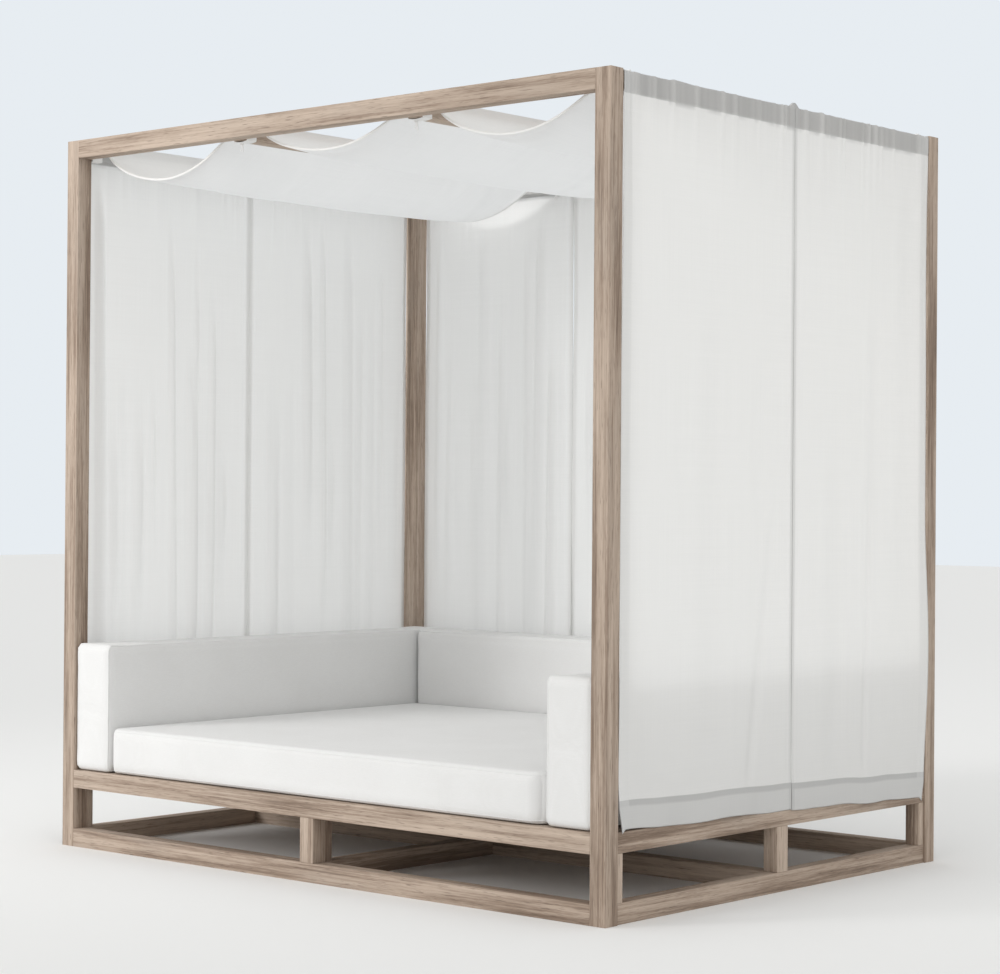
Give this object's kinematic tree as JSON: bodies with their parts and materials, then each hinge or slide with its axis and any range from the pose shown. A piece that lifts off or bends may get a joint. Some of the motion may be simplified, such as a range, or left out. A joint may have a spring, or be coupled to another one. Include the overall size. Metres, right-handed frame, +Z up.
{
  "type": "canopy daybed",
  "caption": "Outdoor daybed with a square timber frame, slatted seat, mattress and bolsters, side and back curtains that draw, and a swagged sun sheet.",
  "frame": {"origin": "on the floor, under the middle of the timber frame", "axes": "+Z up, +Y from the open front to the curtained back, +X to the right as seen from the front"},
  "size_m": [2.1, 1.55, 2.13],
  "materials": {
    "weathered_teak": "weathered, unoiled, fine straight grain",
    "cushion_canvas": "matt off-white outdoor canvas",
    "curtain_cloth": "thin white cloth that lets light through",
    "canopy_cloth": "thin white cloth with a bright hem"
  },
  "bodies": {
    "frame": {"back_centre_stile": "weathered_teak", "back_floor_rail": "weathered_teak", "back_left_cleat": "weathered_teak", "back_left_curtain": "curtain_cloth", "back_left_post": "weathered_teak", "back_middle_curtain": "curtain_cloth", "back_right_cleat": "weathered_teak", "back_right_curtain": "curtain_cloth", "back_right_post": "weathered_teak", "back_seat_rail": "weathered_teak", "back_top_beam": "weathered_teak", "canopy_sheet": "canopy_cloth", "crosswise_back_stile": "weathered_teak", "crosswise_bearer": "weathered_teak", "crosswise_floor_rail": "weathered_teak", "crosswise_front_stile": "weathered_teak", "front_centre_stile": "weathered_teak", "front_floor_rail": "weathered_teak", "front_left_cleat": "weathered_teak", "front_left_post": "weathered_teak", "front_right_cleat": "weathered_teak", "front_right_post": "weathered_teak", "front_seat_rail": "weathered_teak", "front_top_beam": "weathered_teak", "left_back_curtain": "curtain_cloth", "left_back_stile": "weathered_teak", "left_canopy_slat": "weathered_teak", "left_centre_stile": "weathered_teak", "left_floor_rail": "weathered_teak", "left_front_curtain": "curtain_cloth", "left_front_stile": "weathered_teak", "left_seat_deck": "weathered_teak", "left_seat_rail": "weathered_teak", "left_top_beam": "weathered_teak", "lengthwise_bearer": "weathered_teak", "lengthwise_floor_rail": "weathered_teak", "right_back_curtain": "curtain_cloth", "right_back_stile": "weathered_teak", "right_canopy_slat": "weathered_teak", "right_centre_stile": "weathered_teak", "right_floor_rail": "weathered_teak", "right_front_curtain": "curtain_cloth", "right_front_stile": "weathered_teak", "right_seat_deck": "weathered_teak", "right_seat_rail": "weathered_teak", "right_top_beam": "weathered_teak"},
    "mattress": {"mattress": "cushion_canvas"},
    "left_bolster": {"left_bolster": "cushion_canvas"},
    "right_bolster": {"right_bolster": "cushion_canvas"},
    "back_bolster": {"back_bolster": "cushion_canvas"},
    "right_back_curtain_lead": {"right_back_curtain_lead": "curtain_cloth"},
    "right_front_curtain_lead": {"right_front_curtain_lead": "curtain_cloth"},
    "left_front_curtain_lead": {"left_front_curtain_lead": "curtain_cloth"},
    "left_back_curtain_lead": {"left_back_curtain_lead": "curtain_cloth"},
    "back_left_curtain_lead": {"back_left_curtain_lead": "curtain_cloth"},
    "back_middle_curtain_lead": {"back_middle_curtain_lead": "curtain_cloth"},
    "back_right_curtain_lead": {"back_right_curtain_lead": "curtain_cloth"}
  },
  "joints": [
    {"name": "mattress_lift", "type": "slide", "parent": "frame", "child": "mattress", "axis": [0, 0, 1], "range_m": [0, 0.4]},
    {"name": "left_bolster_lift", "type": "slide", "parent": "frame", "child": "left_bolster", "axis": [0, 0, 1], "range_m": [0, 0.4]},
    {"name": "right_bolster_lift", "type": "slide", "parent": "frame", "child": "right_bolster", "axis": [0, 0, 1], "range_m": [0, 0.4]},
    {"name": "back_bolster_lift", "type": "slide", "parent": "frame", "child": "back_bolster", "axis": [0, 0, 1], "range_m": [0, 0.4]},
    {"name": "right_back_curtain_draw", "type": "slide", "parent": "frame", "child": "right_back_curtain_lead", "axis": [0, 1, 0], "range_m": [0, 0.46], "deforming": ["right_back_curtain"]},
    {"name": "right_front_curtain_draw", "type": "slide", "parent": "frame", "child": "right_front_curtain_lead", "axis": [0, -1, 0], "range_m": [0, 0.51], "deforming": ["right_front_curtain"]},
    {"name": "left_front_curtain_draw", "type": "slide", "parent": "frame", "child": "left_front_curtain_lead", "axis": [0, -1, 0], "range_m": [0, 0.468], "deforming": ["left_front_curtain"]},
    {"name": "left_back_curtain_draw", "type": "slide", "parent": "frame", "child": "left_back_curtain_lead", "axis": [0, 1, 0], "range_m": [0, 0.503], "deforming": ["left_back_curtain"]},
    {"name": "back_left_curtain_draw", "type": "slide", "parent": "frame", "child": "back_left_curtain_lead", "axis": [-1, 0, 0], "range_m": [0, 0.445], "deforming": ["back_left_curtain"]},
    {"name": "back_middle_curtain_draw", "type": "slide", "parent": "frame", "child": "back_middle_curtain_lead", "axis": [-1, 0, 0], "range_m": [0, 0.447], "deforming": ["back_middle_curtain"]},
    {"name": "back_right_curtain_draw", "type": "slide", "parent": "frame", "child": "back_right_curtain_lead", "axis": [1, 0, 0], "range_m": [0, 0.445], "deforming": ["back_right_curtain"]}
  ]
}
